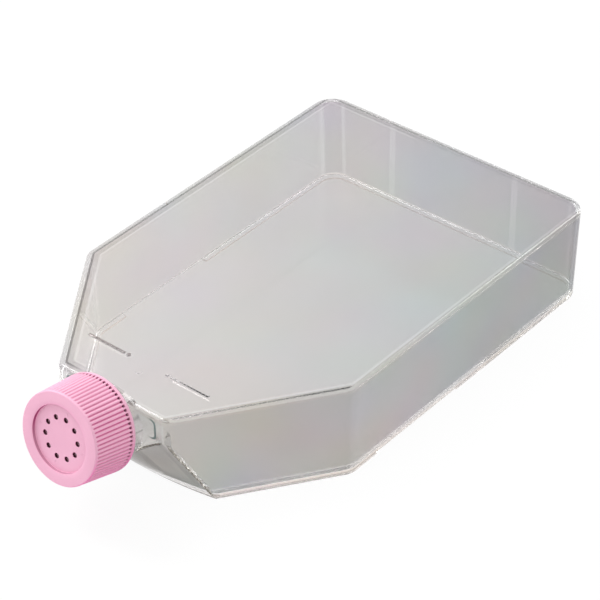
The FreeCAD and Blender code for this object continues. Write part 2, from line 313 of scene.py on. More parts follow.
@dataclass(frozen=True)
class ClearMoulding:
    """Clear moulded polystyrene with a grey tint whose depth follows the wall that is looked through.

    Every colour is what one wall lets through, with painted shade in it: the greys of the walls stand in
    for the shaded bench and the reflections seen through each wall, not only the plastic's own tint.
    Painted highlights and dark lines lie along the roof's rim, the rear corners, the rear ribs, the ramp,
    the inside of the foot and the front wall beside the neck. The plastic also grows greyer from the
    neck's left side to the far right corner, by fall per metre, a painted light gradient, and carries a
    faint pastel cloud.
    """

    gauge: "Gauge"
    name: str = "clear_moulding"
    level: Colour = (0.76, 0.76, 0.757)
    left: Colour = (0.67, 0.665, 0.665)
    right: Colour = (0.505, 0.507, 0.507)
    oblique: Colour = (0.48, 0.48, 0.47)
    front: Colour = (0.60, 0.62, 0.605)
    rear: Colour = (0.61, 0.61, 0.615)
    corner: Colour = (0.58, 0.58, 0.585)
    slope: Colour = (0.20, 0.205, 0.195)
    edge: Colour = (0.56, 0.545, 0.50)
    far_edge: Colour = (0.13, 0.132, 0.13)
    far_band: Colour = (0.58, 0.58, 0.575)
    far_lip: Colour = (0.50, 0.50, 0.495)
    flank: Colour = (0.24, 0.24, 0.26)
    faint: Colour = (0.28, 0.28, 0.275)
    toe: Colour = (0.10, 0.10, 0.09)
    stop: Colour = (0.20, 0.17, 0.165)
    line: Colour = (1.0, 1.0, 1.0)
    rim: Colour = (0.80, 0.72, 0.66)
    painted_dark_loop: Colour = (0.04, 0.08, 0.08)
    warm: Colour = (1.02, 0.98, 0.97)
    cool: Colour = (0.995, 0.995, 1.005)
    painted_falloff: float = 1.25
    pastel: float = 0.15
    ripple: float = 0.02
    ior: float = 1.5
    underside: float = 0.12

    def tint(self, tree: bpy.types.NodeTree, where: bpy.types.Node) -> bpy.types.NodeSocket:
        """Mixes the walls' painted greys, highlights and dark lines by the way the skin faces and by its place."""
        across, along, up = axes(tree, where.outputs["Normal"], True)
        x, y, z = axes(tree, where.outputs["Object"])
        gauge = self.gauge
        sideways = mix_colour(tree, ramp_node(tree, x, -0.05, 0.05, 0.0, 1.0), self.left, self.right)
        leaning = mix_colour(tree, ramp_node(tree, x, -0.02, 0.0, 0.0, 1.0), self.left, self.oblique)
        tone = mix_colour(tree, ramp_node(tree, across, 0.88, 0.96, 0.0, 1.0), leaning, sideways)
        facing = both(tree, ramp_node(tree, y, gauge.front_y + 0.003, gauge.front_y + 0.004, 1.0, 0.0), ramp_node(tree, along, 0.9, 0.97, 0.0, 1.0))
        tone = mix_colour(tree, facing, tone, self.front)
        behind = ramp_node(tree, y, gauge.rear_y - 0.02, gauge.rear_y - 0.012, 0.0, 1.0)
        tone = mix_colour(tree, both(tree, behind, ramp_node(tree, along, 0.9, 0.97, 0.0, 1.0)), tone, self.rear)
        tone = mix_colour(tree, both(tree, behind, band(tree, across, 0.35, 0.88, 0.12)), tone, self.corner)
        # Painted highlights: faint pale lines near the rear where the skin turns through these angles, on the rounded
        # rear corners.
        corner_glints = math_node(tree, "MAXIMUM", band(tree, across, 0.12, 0.22, 0.08), band(tree, across, 0.93, 0.97, 0.03))
        tone = mix_colour(tree, both(tree, behind, corner_glints, ramp_node(tree, up, 0.1, 0.3, 0.28, 0.0)), tone, self.line)
        # Painted highlight: a pale line along each rib on the rear wall, at up to 0.45 strength.
        off_rib = math_node(tree, "ABSOLUTE", math_node(tree, "SUBTRACT", math_node(tree, "ABSOLUTE", x), 0.028))
        rib = both(tree, band(tree, off_rib, 0.0, 0.0012, 0.0003), ramp_node(tree, y, gauge.rear_y - 0.004, gauge.rear_y - 0.003, 0.0, 0.45))
        tone = mix_colour(tree, both(tree, rib, ramp_node(tree, y, gauge.rear_y - 0.0014, gauge.rear_y - 0.001, 1.0, 0.0)), tone, self.line)
        right_side = ramp_node(tree, x, 0.0, 0.01, 0.0, 1.0)
        flank = both(tree, behind, right_side, band(tree, across, 0.78, 0.985, 0.012))
        tone = mix_colour(tree, flank, tone, self.flank)
        tone = mix_colour(tree, ramp_node(tree, up, 0.55, 0.9, 0.0, 1.0), tone, self.level)
        below = ramp_node(tree, z, 0.032, 0.033, 1.0, 0.0)
        ahead = ramp_node(tree, y, gauge.front_y + 0.018, gauge.front_y + 0.022, 1.0, 0.0)
        ramp = both(tree, below, ahead, band(tree, up, 0.4, 0.8, 0.1))
        tone = mix_colour(tree, ramp, tone, self.slope)
        # Painted highlight: a pale line across the ramp just above its foot.
        tone = mix_colour(tree, both(tree, ramp, band(tree, z, 0.0013, 0.0021, 0.0003)), tone, self.line)
        tone = mix_colour(tree, both(tree, ramp, ramp_node(tree, z, 0.0007, 0.0010, 1.0, 0.0)), tone, self.toe)
        tone = self.frame(tree, (x, y, z), up, tone)
        # Painted highlight: a pale line round the inside of the foot where the walls meet the growth plate; towards
        # the front left it is a darker line instead.
        inner = both(tree, band(tree, z, 0.0006, 0.0035, 0.0002), band(tree, up, 0.2, 0.9, 0.1))
        early = both(tree, ramp_node(tree, y, -0.045, -0.02, 1.0, 0.0), ramp_node(tree, x, -0.02, -0.01, 1.0, 0.0))
        tone = mix_colour(tree, inner, tone, mix_colour(tree, early, self.line, self.faint))
        foot = ramp_node(tree, z, gauge.floor * 0.75, gauge.floor, 1.0, 0.0)
        tone = mix_colour(tree, both(tree, foot, ramp_node(tree, up, 0.2, 0.5, 1.0, 0.0)), tone, self.rim)
        # Painted dark line on the front wall beside the neck: the outer part of a rounded loop.
        wide = math_node(tree, "MULTIPLY", math_node(tree, "SUBTRACT", math_node(tree, "ABSOLUTE", x), 0.0134), 1 / 0.0062)
        tall = math_node(tree, "MULTIPLY", math_node(tree, "SUBTRACT", z, 0.0307), 1 / 0.0040)
        powers = [math_node(tree, "POWER", math_node(tree, "ABSOLUTE", v), 6.0) for v in (wide, tall)]
        loop = math_node(tree, "POWER", math_node(tree, "ADD", *powers), 1 / 6.0)
        panel = both(
            tree, band(tree, loop, 0.92, 1.0, 0.06), ramp_node(tree, wide, 0.35, 0.75, 0.0, 1.0),
            ramp_node(tree, y, gauge.front_y + 0.0002, gauge.front_y + 0.0004, 1.0, 0.0),
        )
        tone = mix_colour(tree, panel, tone, self.painted_dark_loop)
        # Painted light gradient: lighter towards the front left, greyer towards the far right corner.
        way = math_node(tree, "ADD", math_node(tree, "MULTIPLY", x, 0.76), math_node(tree, "MULTIPLY", y, 0.65))
        grey = math_node(tree, "SUBTRACT", 1.0, math_node(tree, "MULTIPLY", way, self.painted_falloff))
        tone = mix_colour(tree, 1.0, tone, grey, "MULTIPLY")
        hue = mix_colour(tree, ramp_node(tree, way, -0.075, 0.06, 0.0, 1.0), self.warm, self.cool)
        tone = mix_colour(tree, 1.0, tone, hue, "MULTIPLY")
        cloud = tree.nodes.new("ShaderNodeTexNoise")
        cloud.inputs["Scale"].default_value = 26.0
        cloud.inputs["Detail"].default_value = 1.0
        link(tree, where.outputs["Object"], cloud.inputs["Vector"])
        pale = mix_colour(tree, 0.5, cloud.outputs["Color"], (1.0, 1.0, 1.0), "ADD")
        return mix_colour(tree, self.pastel, tone, pale, "OVERLAY")

    def frame(
        self, tree: bpy.types.NodeTree, place: tuple[bpy.types.NodeSocket, ...], up: bpy.types.NodeSocket,
        tone: bpy.types.NodeSocket,
    ) -> bpy.types.NodeSocket:
        """Paints the rim round the roof: on the near side a grey edge and a painted highlight inside it; on the far
        side, from the outline in, a grey lip, a painted dark line, a paler band and a painted highlight. They stand in
        for what the rounded rim reflects and refracts. The raised stops are painted dark.

        The distance from the outline is the largest of the signed distances to the four walls' planes.
        """
        x, y, z = place
        gauge = self.gauge
        size = math_node(tree, "ABSOLUTE", x)
        run = np.array([(gauge.width - gauge.front_width) / 2, gauge.shoulder])
        run /= np.linalg.norm(run)
        base = -gauge.front_width / 2 * run[1] + gauge.front_y * run[0]
        leaning = math_node(
            tree, "ADD",
            math_node(tree, "SUBTRACT", math_node(tree, "MULTIPLY", size, run[1]), math_node(tree, "MULTIPLY", y, run[0])), base,
        )
        inside = math_node(tree, "SUBTRACT", size, gauge.width / 2)
        for other in (leaning, math_node(tree, "SUBTRACT", y, gauge.rear_y), math_node(tree, "SUBTRACT", gauge.front_y, y)):
            inside = math_node(tree, "MAXIMUM", inside, other)
        top = ramp_node(tree, z, gauge.height - 0.0025, gauge.height - 0.0021, 0.0, 1.0)
        near = both(
            tree, ramp_node(tree, x, -0.02, -0.012, 0.0, 1.0),
            ramp_node(tree, y, gauge.rear_y - 0.006, gauge.rear_y - 0.002, 1.0, 0.0),
        )
        crest = ramp_node(tree, z, gauge.height - 0.0016, gauge.height - 0.0013, 0.0, 1.0)
        ring = both(tree, crest, ramp_node(tree, inside, -0.0057, -0.0055, 0.0, 1.0))
        # Near side: a grey outer edge, then a painted highlight just inside it.
        brim = both(tree, top, ramp_node(tree, inside, -0.0025, -0.0022, 0.0, 1.0))
        outer = ramp_node(tree, inside, -0.0016, -0.0013, 0.0, 1.0)
        nearby = mix_colour(tree, brim, tone, mix_colour(tree, outer, self.line, self.edge))
        # Far side, from the outline in: a grey lip, a painted dark line, a paler band and a painted highlight.
        bands: bpy.types.NodeSocket | Colour = self.line
        for depth, colour in ((0.0048, self.far_band), (0.0030, self.far_edge), (0.0022, self.far_lip)):
            bands = mix_colour(tree, ramp_node(tree, inside, -depth - 0.0001, 0.0001 - depth, 0.0, 1.0), bands, colour)
        tone = mix_colour(tree, near, mix_colour(tree, ring, tone, bands), nearby)
        raised = both(
            tree, ramp_node(tree, z, gauge.height + 0.00002, gauge.height + 0.00006, 0.0, 1.0), ramp_node(tree, x, 0.0, 0.001, 1.0, 0.0),
            ramp_node(tree, y, gauge.front_y + 0.016, gauge.front_y + 0.017, 0.0, 1.0),
        )
        return mix_colour(tree, raised, tone, self.stop)

    def make(self) -> bpy.types.Material:
        """Builds the material: a glass-like body with the tint, faint waves, and a light shadow."""
        material, tree = shader_tree(self.name)
        where = tree.nodes.new("ShaderNodeTexCoord")
        glass = tree.nodes.new("ShaderNodeBsdfPrincipled")
        glass.inputs["Transmission Weight"].default_value = 1.0
        glass.inputs["IOR"].default_value = self.ior
        low = ramp_node(tree, axes(tree, where.outputs["Object"])[2], 0.00078, 0.00084, 1.0, 0.0)
        under = ramp_node(tree, axes(tree, where.outputs["Normal"], True)[2], 0.9, 0.95, 0.0, 1.0)
        link(tree, math_node(tree, "MULTIPLY", both(tree, low, under), self.underside), glass.inputs["Roughness"])
        link(tree, self.tint(tree, where), glass.inputs["Base Color"])
        waves = tree.nodes.new("ShaderNodeBump")
        waves.inputs["Strength"].default_value = self.ripple
        waves.inputs["Distance"].default_value = 0.001
        link(tree, noise_node(tree, where.outputs["Object"], 60.0, 0.0), waves.inputs["Height"])
        link(tree, waves.outputs[0], glass.inputs["Normal"])
        clear = tree.nodes.new("ShaderNodeBsdfTransparent")
        clear.inputs["Color"].default_value = (0.93, 0.93, 0.93, 1.0)
        path = tree.nodes.new("ShaderNodeLightPath")
        mix = tree.nodes.new("ShaderNodeMixShader")
        link(tree, path.outputs["Is Shadow Ray"], mix.inputs[0])
        link(tree, glass.outputs[0], mix.inputs[1])
        link(tree, clear.outputs[0], mix.inputs[2])
        out = tree.nodes.new("ShaderNodeOutputMaterial")
        link(tree, mix.outputs[0], out.inputs["Surface"])
        return material


@dataclass(frozen=True)
class Weld:
    """Melted seam between the two mouldings: clear, warmer and darker, with tiny bubbles."""

    name: str = "weld_bead"
    colour: Colour = (0.10, 0.09, 0.07)

    def make(self) -> bpy.types.Material:
        """Builds the material: tinted glass with pale specks where the bubbles are."""
        material, tree = shader_tree(self.name)
        where = tree.nodes.new("ShaderNodeTexCoord")
        specks = noise_node(tree, where.outputs["Object"], 900.0, 1.0)
        tone = mix_colour(tree, ramp_node(tree, specks, 0.56, 0.64, 0.0, 1.0), self.colour, (0.95, 0.88, 0.78))
        glass = tree.nodes.new("ShaderNodeBsdfPrincipled")
        glass.inputs["Transmission Weight"].default_value = 1.0
        glass.inputs["Roughness"].default_value = 0.05
        glass.inputs["IOR"].default_value = 1.5
        link(tree, tone, glass.inputs["Base Color"])
        clear = tree.nodes.new("ShaderNodeBsdfTransparent")
        clear.inputs["Color"].default_value = (0.85, 0.85, 0.85, 1.0)
        path = tree.nodes.new("ShaderNodeLightPath")
        mix = tree.nodes.new("ShaderNodeMixShader")
        link(tree, path.outputs["Is Shadow Ray"], mix.inputs[0])
        link(tree, glass.outputs[0], mix.inputs[1])
        link(tree, clear.outputs[0], mix.inputs[2])
        out = tree.nodes.new("ShaderNodeOutputMaterial")
        link(tree, mix.outputs[0], out.inputs["Surface"])
        return material


@dataclass(frozen=True)
class SatinPlastic:
    """Coloured satin polyolefin with painted shade: a deeper tone on skin facing sideways and down, and darker colour
    in its grooves, face recess, pockets and holes.
    """

    name: str
    colour: Colour
    # The next three colours are painted shade: for skin facing down, for the grooves, and for the pockets and holes.
    shaded_side_tone: Colour
    deep: Colour
    dark: Colour
    roughness: float = 0.42
    grain: float = 900.0
    grain_depth: float = 0.12

    def make(self) -> bpy.types.Material:
        """Builds the material: soft colour drift, fine mould grain, a painted shaded tone on skin that faces sideways
        and down, and painted shade by the shade mark, stronger in the grooves where the skin faces down.
        """
        material, tree = shader_tree(self.name)
        where = tree.nodes.new("ShaderNodeTexCoord")
        drift = ramp_node(tree, noise_node(tree, where.outputs["Object"], 45.0), 0.3, 0.7, 0.0, 1.0)
        paler = tuple(min(1.0, c * 1.05 + 0.01) for c in self.colour)
        upward = axes(tree, where.outputs["Normal"])[2]
        tone = mix_colour(tree, drift, self.colour, paler)
        # Painted shade: skin that faces sideways and down takes a deeper, more saturated pink.
        tone = mix_colour(tree, ramp_node(tree, upward, -0.5, 0.25, 1.0, 0.0), tone, self.shaded_side_tone)
        mark = tree.nodes.new("ShaderNodeAttribute")
        mark.attribute_name = "shade"
        # Painted shade in the grooves and the recess wall, stronger where the skin faces down; near-black painted
        # shade in the pockets and holes.
        shaded = ramp_node(tree, upward, -0.3, 0.65, 1.0, 0.2)
        groove = ramp_node(tree, mark.outputs["Fac"], 0.05, 0.5, 0.0, 1.0)
        tone = mix_colour(tree, math_node(tree, "MULTIPLY", groove, shaded), tone, self.deep)
        tone = mix_colour(tree, ramp_node(tree, mark.outputs["Fac"], 0.5, 0.9, 0.0, 1.0), tone, self.dark)
        skin = tree.nodes.new("ShaderNodeBsdfPrincipled")
        link(tree, tone, skin.inputs["Base Color"])
        skin.inputs["Subsurface Weight"].default_value = 0.0
        skin.inputs["IOR"].default_value = 1.45
        rough = noise_node(tree, where.outputs["Object"], 220.0)
        link(tree, ramp_node(tree, rough, 0.3, 0.7, self.roughness - 0.05, self.roughness + 0.06), skin.inputs["Roughness"])
        bump = tree.nodes.new("ShaderNodeBump")
        bump.inputs["Strength"].default_value = self.grain_depth
        bump.inputs["Distance"].default_value = 0.0001
        link(tree, noise_node(tree, where.outputs["Object"], self.grain), bump.inputs["Height"])
        link(tree, bump.outputs[0], skin.inputs["Normal"])
        out = tree.nodes.new("ShaderNodeOutputMaterial")
        link(tree, skin.outputs[0], out.inputs["Surface"])
        return material


@dataclass(frozen=True)
class FilterFilm:
    """Fine porous film of the vent, matt and faintly fibrous."""

    name: str = "filter_film"
    colour: Colour = (0.42, 0.38, 0.38)

    def make(self) -> bpy.types.Material:
        """Builds the material: cells of paler fibres over the film's own colour."""
        material, tree = shader_tree(self.name)
        where = tree.nodes.new("ShaderNodeTexCoord")
        cells = tree.nodes.new("ShaderNodeTexVoronoi")
        cells.inputs["Scale"].default_value = 2500.0
        link(tree, where.outputs["Object"], cells.inputs["Vector"])
        paler = tuple(c * 1.15 for c in self.colour)
        tone = mix_colour(tree, ramp_node(tree, cells.outputs["Distance"], 0.1, 0.6, 0.0, 1.0), self.colour, paler)
        skin = tree.nodes.new("ShaderNodeBsdfPrincipled")
        skin.inputs["Roughness"].default_value = 0.9
        link(tree, tone, skin.inputs["Base Color"])
        bump = tree.nodes.new("ShaderNodeBump")
        bump.inputs["Strength"].default_value = 0.3
        bump.inputs["Distance"].default_value = 0.0001
        link(tree, cells.outputs["Distance"], bump.inputs["Height"])
        link(tree, bump.outputs[0], skin.inputs["Normal"])
        out = tree.nodes.new("ShaderNodeOutputMaterial")
        link(tree, skin.outputs[0], out.inputs["Surface"])
        return material


# ---- solids by boolean work -------------------------------------------------------------------


@dataclass
class Form:
    """A closed form in millimetres that other forms are joined to or cut from."""

    thing: bpy.types.Object

    @classmethod
    def loft(cls, name: str, rings: np.ndarray, finish: bpy.types.Material | None = None) -> "Form":
        """Closed form from rings of points, each ring one flat section, the ends closed by flat faces.

        Args:
            name: Working name.
            rings: Points of shape (rings, points, 3), each ring counter-clockwise seen from the last one's side.
            finish: Material that its faces bring along when it cuts another form.
        """
        count, size = rings.shape[:2]
        index = np.arange(count * size).reshape(count, size)
        after = np.roll(index, -1, axis=1)
        quads = np.stack([index[:-1], after[:-1], after[1:], index[1:]], axis=-1).reshape(-1, 4)
        faces = quads.tolist() + [index[0][::-1].tolist(), index[-1].tolist()]
        points = rings.reshape(-1, 3)
        a, b, c, d = (points[quads[:, i]] for i in range(4))
        centre = points.mean(axis=0)
        volume = (np.cross(b - a, c - a) * (a - centre)).sum() + (np.cross(c - a, d - a) * (a - centre)).sum()
        for end in (points[index[0][::-1]], points[index[-1]]):
            volume += (np.cross(end[1:-1] - end[0], end[2:] - end[0]) * (end[0] - centre)).sum()
        if volume < 0:
            faces = [face[::-1] for face in faces]
        mesh = bpy.data.meshes.new(name)
        mesh.from_pydata(points.tolist(), [], faces)
        if finish is not None:
            mesh.materials.append(finish)
        mesh.update()
        thing = bpy.data.objects.new(name, mesh)
        bpy.context.scene.collection.objects.link(thing)
        return cls(thing)

    def work(self, tool: "Form", how: str, keep: bool = False) -> "Form":
        """Joins, cuts or intersects this form with another, which is used up unless it is kept."""
        step = self.thing.modifiers.new("work", "BOOLEAN")
        step.operation, step.solver, step.object, step.material_mode = how, "EXACT", tool.thing, "TRANSFER"
        view = bpy.context.evaluated_depsgraph_get()
        mesh = bpy.data.meshes.new_from_object(self.thing.evaluated_get(view))
        self.thing.modifiers.clear()
        old = self.thing.data
        self.thing.data = mesh
        bpy.data.meshes.remove(old)
        if not keep:
            tool.drop()
        return self

    def drop(self) -> None:
        """Removes the form."""
        mesh = self.thing.data
        bpy.data.objects.remove(self.thing)
        bpy.data.meshes.remove(mesh)

    def copy(self) -> "Form":
        """A second form of the same shape."""
        thing = self.thing.copy()
        thing.data = self.thing.data.copy()
        bpy.context.scene.collection.objects.link(thing)
        return Form(thing)


# ---- the flask --------------------------------------------------------------------------------


@dataclass
class FlaskShell:
    """Clear upper and lower mouldings, welded along the foot and the ramp, with a threaded neck.

    Sizes are in millimetres in the flask's own frame: the origin under the middle of the body.
    """

    gauge: Gauge
    length: float = 184.6
    width: float = 120.0
    height: float = 36.7
    shoulder: float = 52.0
    front_width: float = 46.8
    wall: float = 1.7
    roof: float = 1.9
    floor: float = 2.6
    rail: float = 0.8
    rail_width: float = 2.6
    drafts: tuple[float, float, float] = (1.1, 0.5, 0.4)
    outer_radii: tuple[float, float, float] = (2.4, 6.0, 9.0)
    inner_radii: tuple[float, float, float] = (7.5, 8.0, 7.3)
    pocket_radii: tuple[float, float, float] = (4.0, 7.0, 6.6)
    floor_edge: float = 0.8
    outer_edge: float = 1.65
    inner_edge: float = 0.4
    ramp_corner: float = 27.5
    ramp_foot: float = 34.5
    ramp_setback: float = 13.7
    ramp_bow: float = 3.6
    ramp_angle: float = 49.0
    ramp_bulge: float = 0.55
    ramp_skin: tuple[float, float, float] = (0.0, 1.5, 1.0)
    neck_height: float = 27.1
    neck_r: float = 14.0
    finish_r: float = 13.4
    bore_r: float = 12.0
    root_length: float = 6.4
    neck_length: float = 21.65
    saddle: float = 1.8
    saddle_wall: float = 1.5
    thread_pitch: float = 4.0
    thread_turns: float = 2.1
    thread_start: float = 9.4
    thread_crest: float = 14.5
    thread_foot: float = 1.9
    stop_setback: float = 18.3
    stop_inner: float = 10.2
    stop_outer: float = 26.6
    stop_width: float = 1.1
    stop_height: float = 0.5
    stud_x: float = 8.6
    stud_r: float = 0.8
    gate_setback: float = 13.8
    gate_r: float = 1.2
    gate_height: float = 0.2
    gap: tuple[float, float] = (-27.0, 16.0)
    bead_start: float = 0.42
    bead_r: float = 0.38
    bead_swell: float = 0.09
    rib_x: float = 28.0
    rib_width: float = 3.0
    rib_depth: float = 0.45
    round_steps: int = 128

    @property
    def front_y(self) -> float:
        """Front wall's outside."""
        return -self.length / 2

    @property
    def neck(self) -> np.ndarray:
        """Turn that takes the neck's own axes, Z outwards, into the flask's."""
        return np.array(Matrix.Rotation(math.pi / 2 - self.gauge.cant, 3, "X"))

    def plan(self, level: float, inset: float, radii: tuple[float, float, float], steps: int = 20) -> np.ndarray:
        """Section of the body at one height: a hexagon whose walls lean in, with round corners.

        Each wall is moved in by its draft for that height plus the inset; each corner is an arc that
        touches both walls, drawn from its centre with the corner's radius.

        Args:
            level: Height above the bench.
            inset: Extra distance inwards.
            radii: Front, shoulder and rear corner radii.
            steps: Spans per corner.

        Returns:
            Points of shape (n, 3), counter-clockwise from above.
        """
        lean = 1.0 - level / self.height
        side, rear, slope = (draft * lean + inset for draft in self.drafts)
        run = np.array([self.width / 2 - self.front_width / 2, self.shoulder])
        run /= np.linalg.norm(run)
        start = np.array([self.front_width / 2, self.front_y]) + np.array([-run[1], run[0]]) * slope
        x_side, y_front = self.width / 2 - side, self.front_y + inset
        right = np.array([
            [start[0] + (y_front - start[1]) * run[0] / run[1], y_front],
            [x_side, start[1] + (x_side - start[0]) * run[1] / run[0]],
            [x_side, self.length / 2 - rear],
        ])
        corners = np.concatenate([right, right[::-1] * [-1, 1]])
        radius = np.maximum(np.array(radii + radii[::-1]), 0.05)
        before = corners - np.roll(corners, 1, axis=0)
        after = np.roll(corners, -1, axis=0) - corners
        before /= np.linalg.norm(before, axis=1, keepdims=True)
        after /= np.linalg.norm(after, axis=1, keepdims=True)
        turn = np.arccos(np.clip((before * after).sum(1), -1, 1))
        begin = corners - before * (radius * np.tan(turn / 2))[:, None]
        centre = begin + np.stack([-before[:, 1], before[:, 0]], -1) * radius[:, None]
        first = np.arctan2(begin[:, 1] - centre[:, 1], begin[:, 0] - centre[:, 0])
        angle = first[:, None] + turn[:, None] * np.linspace(0, 1, steps + 1)
        arc = centre[:, None] + radius[:, None, None] * np.stack([np.cos(angle), np.sin(angle)], -1)
        flat = arc.reshape(-1, 2)
        return np.column_stack([flat, np.full(len(flat), level)])

    def block(self, name: str, low: float, high: float, inset: float, radii: tuple[float, float, float], edge: float, foot: float = 0.0) -> Form:
        """Drafted block between two heights with a round roof edge: each ring of the edge is drawn in by
        edge less edge times the cosine, and raised by edge times the sine, of its own angle. The lower
        edge is rounded the same way by foot."""
        angle = np.linspace(0, math.pi / 2, 13)
        rings = []
        for value in angle[::2] if foot > 0 else [math.pi / 2]:
            inward = foot * (1 - math.sin(value))
            level = low + foot - foot * math.cos(value)
            rings.append(self.plan(level, inset + inward, tuple(r - inward for r in radii)))
        for value in angle:
            inward = edge * (1 - math.cos(value))
            level = high - edge + edge * math.sin(value)
            reduced = tuple(r - inward for r in radii)
            rings.append(self.plan(level, inset + inward, reduced))
        return Form.loft(name, np.stack(rings))

    def ramp_lines(self, count: int = 48) -> tuple[np.ndarray, np.ndarray]:
        """The ramp's upper edge and its foot.

        The upper edge follows the neck's circle, then a shallow parabola out to the front wall's corner.
        The foot is a parabola across, its middle furthest forward.
        """
        share = np.linspace(-1, 1, 2 * count + 1)
        flare = math.radians(self.ramp_angle)
        corner = np.array([self.front_width / 2, self.ramp_corner])
        tangent = np.array([self.neck_r * math.sin(flare), self.neck_height - self.neck_r * math.cos(flare)])
        chord = corner - tangent
        normal = np.array([-chord[1], chord[0]]) / np.linalg.norm(chord)
        size = np.abs(share)
        angle = flare * np.minimum(size * 2, 1)
        around = np.stack([self.neck_r * np.sin(angle), self.neck_height - self.neck_r * np.cos(angle)], -1)
        t = np.clip(size * 2 - 1, 0, 1)[:, None]
        along = tangent + chord * t + normal * self.ramp_bulge * 4 * t * (1 - t)
        flat = np.where(size[:, None] <= 0.5, around, along)
        x = np.sign(share) * flat[:, 0]
        upper = np.column_stack([x, np.full_like(x, self.front_y), flat[:, 1]])
        across = x / (self.front_width / 2)
        foot_y = self.front_y + self.ramp_setback - self.ramp_bow * (1 - across**2)
        foot = np.column_stack([across * self.ramp_foot, foot_y, np.zeros_like(x)])
        return upper, foot

    def under_ramp(self, shift: tuple[float, float, float], finish: bpy.types.Material | None = None) -> Form:
        """Everything before and below the ruled surface between the ramp's two lines, moved by shift."""
        upper, foot = self.ramp_lines()
        above = upper + (upper - foot) * 0.18 + shift
        under = foot + (foot - upper) * 0.18 + shift
        wider = []
        for row in (above, under):
            left = row[0] + (row[0] - row[1]) * 14
            right = row[-1] + (row[-1] - row[-2]) * 14
            wider.append(np.vstack([left, row, right]))
        above, under = wider
        back = np.array([0.0, -60.0, -36.7])
        rings = np.stack([under, above, above + back, under + back], axis=1)
        return Form.loft("under_ramp", rings, finish)

    def turned(self, profile: list[tuple[float, float]], name: str = "turned") -> Form:
        """Solid of revolution on the neck's axis through (radius, distance) pairs."""
        pairs = np.array(profile)
        angle = np.arange(self.round_steps) * 2 * math.pi / self.round_steps
        rings = np.stack([
            pairs[:, :1] * np.cos(angle), pairs[:, :1] * np.sin(angle), np.repeat(pairs[:, 1:], self.round_steps, 1)
        ], -1)
        placed = rings @ self.neck.T + np.array([0, self.front_y, self.neck_height])
        return Form.loft(name, placed)

    def slab(self, corners: list[tuple[float, float]], low: float, high: float, finish: bpy.types.Material | None = None) -> Form:
        """Upright prism over a convex outline given in X and Y."""
        flat = np.array(corners, float)
        rings = np.stack([np.column_stack([flat, np.full(len(flat), z)]) for z in (low, high)])
        return Form.loft("slab", rings, finish)

    def side_view(self, corners: list[tuple[float, float]], half: float = 90.0) -> Form:
        """Prism across the whole width over a convex outline given in Y and Z, clockwise seen from +X."""
        flat = np.array(corners, float)
        rings = np.stack([np.column_stack([np.full(len(flat), x), flat]) for x in (half, -half)])
        return Form.loft("side_view", rings)

    def thread(self) -> Form:
        """Right-hand screw thread: a trapezium carried along a helix, sinking into the neck at both ends."""
        steps = int(96 * self.thread_turns)
        turn = np.linspace(0.0, 1.0, steps + 1)
        angle = turn * self.thread_turns * 2 * math.pi
        centre = self.thread_start + turn * self.thread_turns * self.thread_pitch
        fade = np.clip(np.minimum(turn, 1 - turn) * self.thread_turns * 8, 0, 1)
        fade = fade * fade * (3 - 2 * fade)
        across = np.array([-0.5, -0.4, -0.28, -0.16, 0.0, 0.16, 0.28, 0.4, 0.5, 0.3, -0.3])
        rise = np.array([0.0, 0.3, 0.82, 1.0, 1.0, 1.0, 0.82, 0.3, 0.0, -1.0, -1.0])
        root = self.finish_r - 0.08
        height = np.where(rise > 0, (self.thread_crest - root) * rise * fade[:, None], 0.6 * rise)
        radius = root + height
        along = centre[:, None] + across * self.thread_foot
        rings = np.stack([radius * np.cos(angle)[:, None], radius * np.sin(angle)[:, None], along], -1)
        placed = rings @ self.neck.T + np.array([0, self.front_y, self.neck_height])
        return Form.loft("thread", placed[:, ::-1])

    def hollow(self) -> Form:
        """The whole flask as one closed wall."""
        outside = self.block("outside", 0.0, self.height, 0.0, self.outer_radii, self.outer_edge)
        outside.work(self.under_ramp((0, 0, 0)), "DIFFERENCE")
        room = self.block("room", self.floor, self.height - self.roof, self.wall, self.inner_radii, self.inner_edge, self.floor_edge)
        room.work(self.under_ramp(self.ramp_skin), "DIFFERENCE")
        outside.work(room, "DIFFERENCE")
        lip = 0.45
        tube = self.turned([
            (self.neck_r, -12.0), (self.neck_r, self.root_length - 0.35), (self.neck_r - 0.12, self.root_length - 0.1),
            (self.finish_r, self.root_length), (self.finish_r, self.neck_length - lip),
            (self.finish_r - 0.06, self.neck_length - 0.25), (self.finish_r - 0.2, self.neck_length - 0.07),
            (self.finish_r - lip, self.neck_length),
        ], "tube")
        tube.work(self.thread(), "UNION")
        front, top = self.front_y, self.height
        within = front + self.wall * 0.6
        tube.work(self.side_view([(front - 60, -60), (within, -60), (within, top - self.roof * 0.5), (front - 60, 140)]), "INTERSECT")
        outside.work(tube, "UNION")
        crown = self.neck_height + self.neck_r / math.cos(self.gauge.cant)
        foot = front + self.saddle
        saddle = self.turned([(self.neck_r, -12.0), (self.neck_r, self.root_length - 1)], "saddle")
        down = np.array([foot, top]) - np.array([front, crown])
        toe = np.array([foot, top]) + down * 0.2
        head = np.array([front, crown]) - down * 1.5
        saddle.work(self.side_view([(front - 30, toe[1]), (toe[0], toe[1]), (head[0], head[1]), (front - 30, head[1])]), "INTERSECT")
        outside.work(saddle, "UNION")
        bore = self.turned([(self.bore_r, -12.0), (self.bore_r, self.neck_length - 0.3), (self.bore_r + 0.3, self.neck_length + 0.05), (self.bore_r + 0.3, self.neck_length + 5)], "bore")
        inner = np.array([-down[1], down[0]]) / np.linalg.norm(down) * -self.saddle_wall
        head, toe = head + inner, toe + inner
        low = top - self.roof
        upper_part = bore.copy().work(self.side_view([(front - 60, -40), (toe[0], -40), (toe[0], toe[1]), (head[0], head[1]), (front - 60, head[1])]), "INTERSECT")
